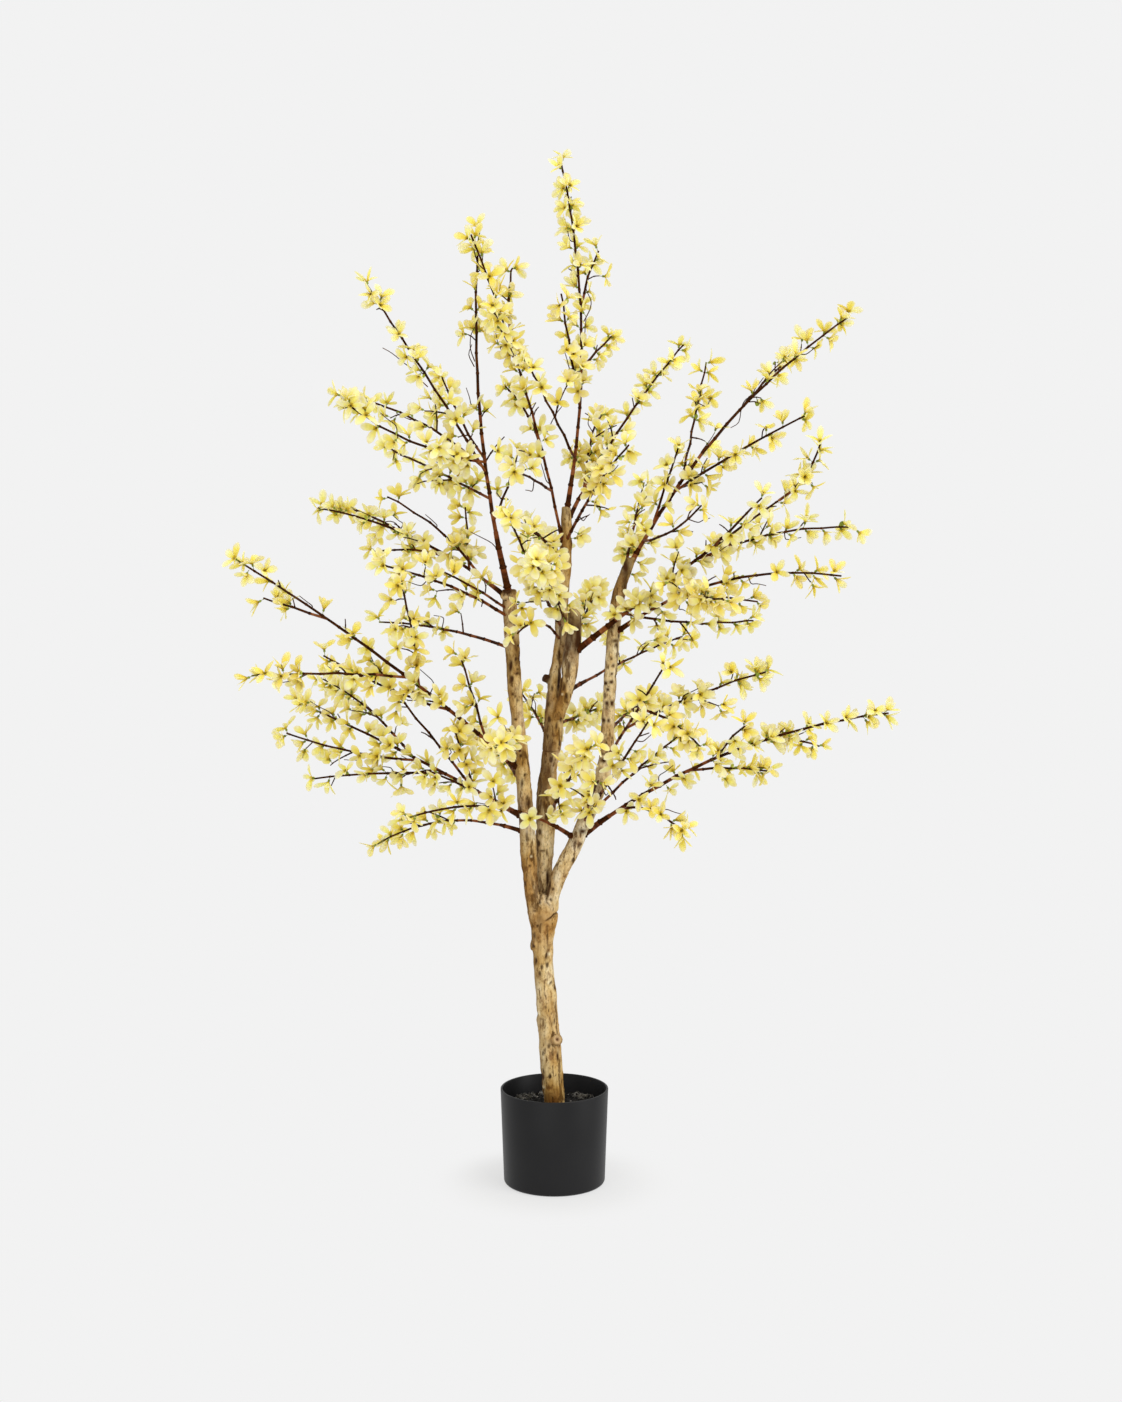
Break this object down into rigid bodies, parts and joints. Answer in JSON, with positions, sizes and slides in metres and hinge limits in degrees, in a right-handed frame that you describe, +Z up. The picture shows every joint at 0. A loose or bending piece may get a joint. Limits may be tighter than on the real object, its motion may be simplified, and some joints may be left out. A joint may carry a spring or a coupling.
{
  "type": "artificial forsythia tree",
  "caption": "Artificial flowering tree: a real-wood trunk forked into stems, wired boughs and sprays of yellow blossom, standing in a plain black pot.",
  "frame": {"origin": "middle of the pot's flat underside, on the floor it stands on", "axes": "+Z up along the trunk, front towards -Y, +X to the right seen from the front"},
  "size_m": [0.949, 0.668, 1.507],
  "materials": {
    "pot_plastic": "satin",
    "gravel_fill": "matte",
    "bare_wood": "matte",
    "bark_coat": "matte",
    "blossom": "matte"
  },
  "bodies": {
    "root": {"pot": "pot_plastic", "pot_fill": "gravel_fill", "trunk": "bare_wood", "left_stem": "bare_wood", "centre_stem": "bare_wood", "right_stem": "bare_wood", "centre_fork": "bare_wood", "left_reach_bough": "bark_coat", "left_fan_bough": "bark_coat", "left_low_bough": "bark_coat", "left_high_bough": "bark_coat", "left_top_bough": "bark_coat", "centre_top_bough": "bark_coat", "centre_left_bough": "bark_coat", "centre_high_bough": "bark_coat", "back_reach_bough": "bark_coat", "right_reach_bough": "bark_coat", "right_top_bough": "bark_coat", "right_mid_bough": "bark_coat", "right_front_bough": "bark_coat", "right_back_bough": "bark_coat", "right_low_bough": "bark_coat", "low_cross_bough": "bark_coat", "left_reach_spray": "blossom", "left_fan_spray": "blossom", "left_low_spray": "blossom", "left_mid_spray": "blossom", "left_upper_spray": "blossom", "left_short_spray": "blossom", "left_high_spray": "blossom", "left_top_spray": "blossom", "centre_top_spray": "blossom", "centre_left_spray": "blossom", "centre_right_spray": "blossom", "centre_high_spray": "blossom", "centre_loop_spray": "blossom", "front_rise_spray": "blossom", "front_mid_spray": "blossom", "front_left_spray": "blossom", "back_rise_spray": "blossom", "back_left_spray": "blossom", "front_low_spray": "blossom", "back_right_spray": "blossom", "back_reach_spray": "blossom", "right_reach_spray": "blossom", "right_top_spray": "blossom", "back_top_spray": "blossom", "right_mid_spray": "blossom", "right_front_spray": "blossom", "right_back_spray": "blossom", "front_right_spray": "blossom", "right_low_spray": "blossom", "low_cross_spray": "blossom", "front_short_spray": "blossom", "back_low_spray": "blossom", "back_mid_spray": "blossom", "back_high_spray": "blossom", "front_near_spray": "blossom"}
  },
  "joints": []
}
